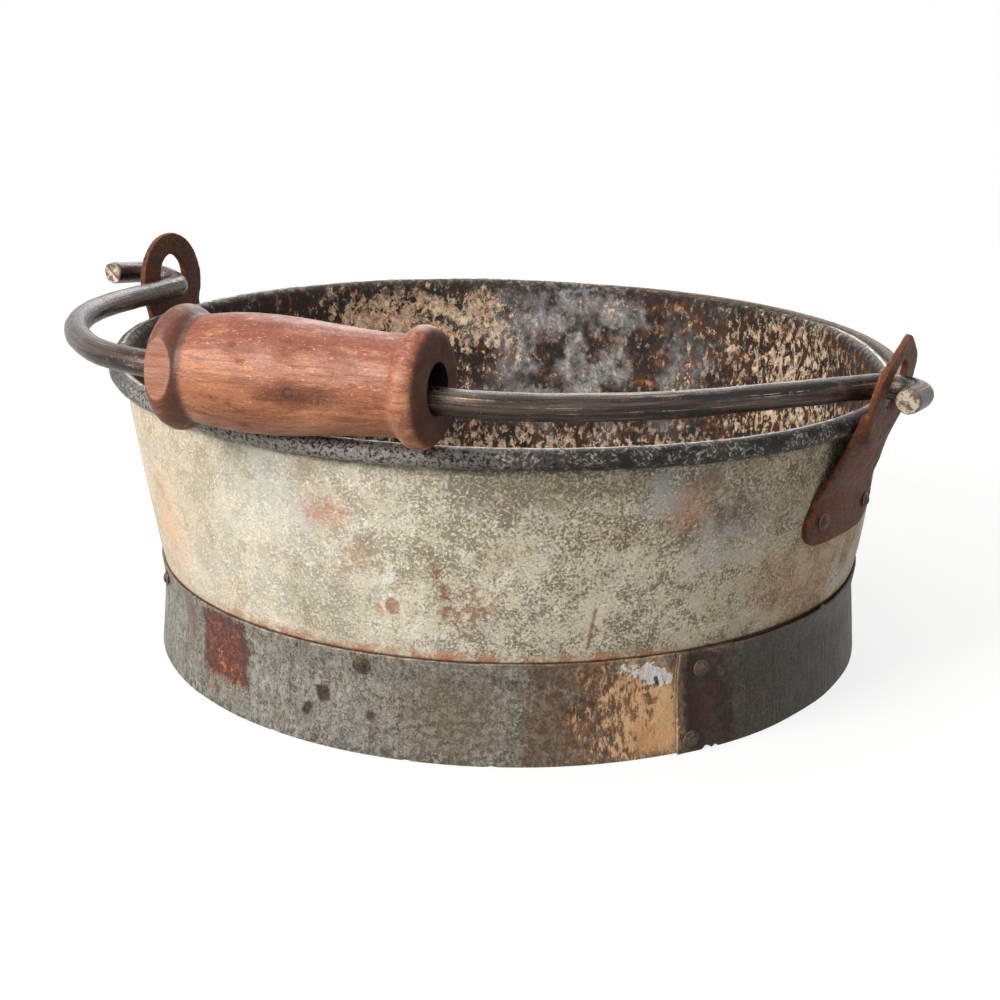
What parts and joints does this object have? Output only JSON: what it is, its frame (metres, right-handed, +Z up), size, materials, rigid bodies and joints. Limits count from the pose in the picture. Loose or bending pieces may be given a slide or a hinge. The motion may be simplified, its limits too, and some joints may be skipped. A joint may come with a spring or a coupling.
{
  "type": "bucket",
  "caption": "Shallow flared sheet-metal bucket with a rolled rim, a riveted foot band, an iron bail in riveted ears and a turned wooden grip.",
  "frame": {"origin": "on the ground, at the middle of the round foot", "axes": "+Z up along the tub's axis; +X to the right and +Y to the back when the bucket is seen with its grip in front"},
  "size_m": [0.3377, 0.3376, 0.1599],
  "materials": {
    "galvanised_sheet": "dull, weathered and stained zinc coating with rust patches",
    "zinc_band": "dull grey zinc with rust and flaking at the lap",
    "iron_wire": "dull, hidden in the rolled rim",
    "rusty_iron": "rough, rusted",
    "dark_iron": "rough forged rod, rusted dark",
    "rivet_iron": "dull, rusted",
    "turned_wood": "worn, dry, reddish brown"
  },
  "bodies": {
    "tub": {"tub_wall": "galvanised_sheet", "rim_wire": "iron_wire", "tub_floor": "galvanised_sheet", "foot_band": "zinc_band", "ear_left": "rusty_iron", "ear_right": "rusty_iron", "lap_rivet": "rivet_iron", "ear_rivet_left_1": "rivet_iron", "ear_rivet_left_2": "rivet_iron", "ear_rivet_right_1": "rivet_iron", "ear_rivet_right_2": "rivet_iron", "band_rivet_1": "rivet_iron", "band_rivet_2": "rivet_iron", "band_rivet_3": "rivet_iron", "band_rivet_4": "rivet_iron", "band_rivet_5": "rivet_iron", "band_rivet_6": "rivet_iron", "band_rivet_7": "rivet_iron"},
    "bail": {"bail": "dark_iron"},
    "grip": {"grip": "turned_wood"}
  },
  "joints": [
    {"name": "bail_swing", "type": "hinge", "parent": "tub", "child": "bail", "pos_m": [0.1367, -0.09558, 0.12684], "axis": [-0.8684, 0.4956, 0.0185], "range_deg": [0, 174]},
    {"name": "grip_turn", "type": "hinge", "parent": "bail", "child": "grip", "pos_m": [-0.06918, -0.14254, 0.13895], "axis": [0.9359, -0.352, 0.0156], "continuous": true}
  ]
}
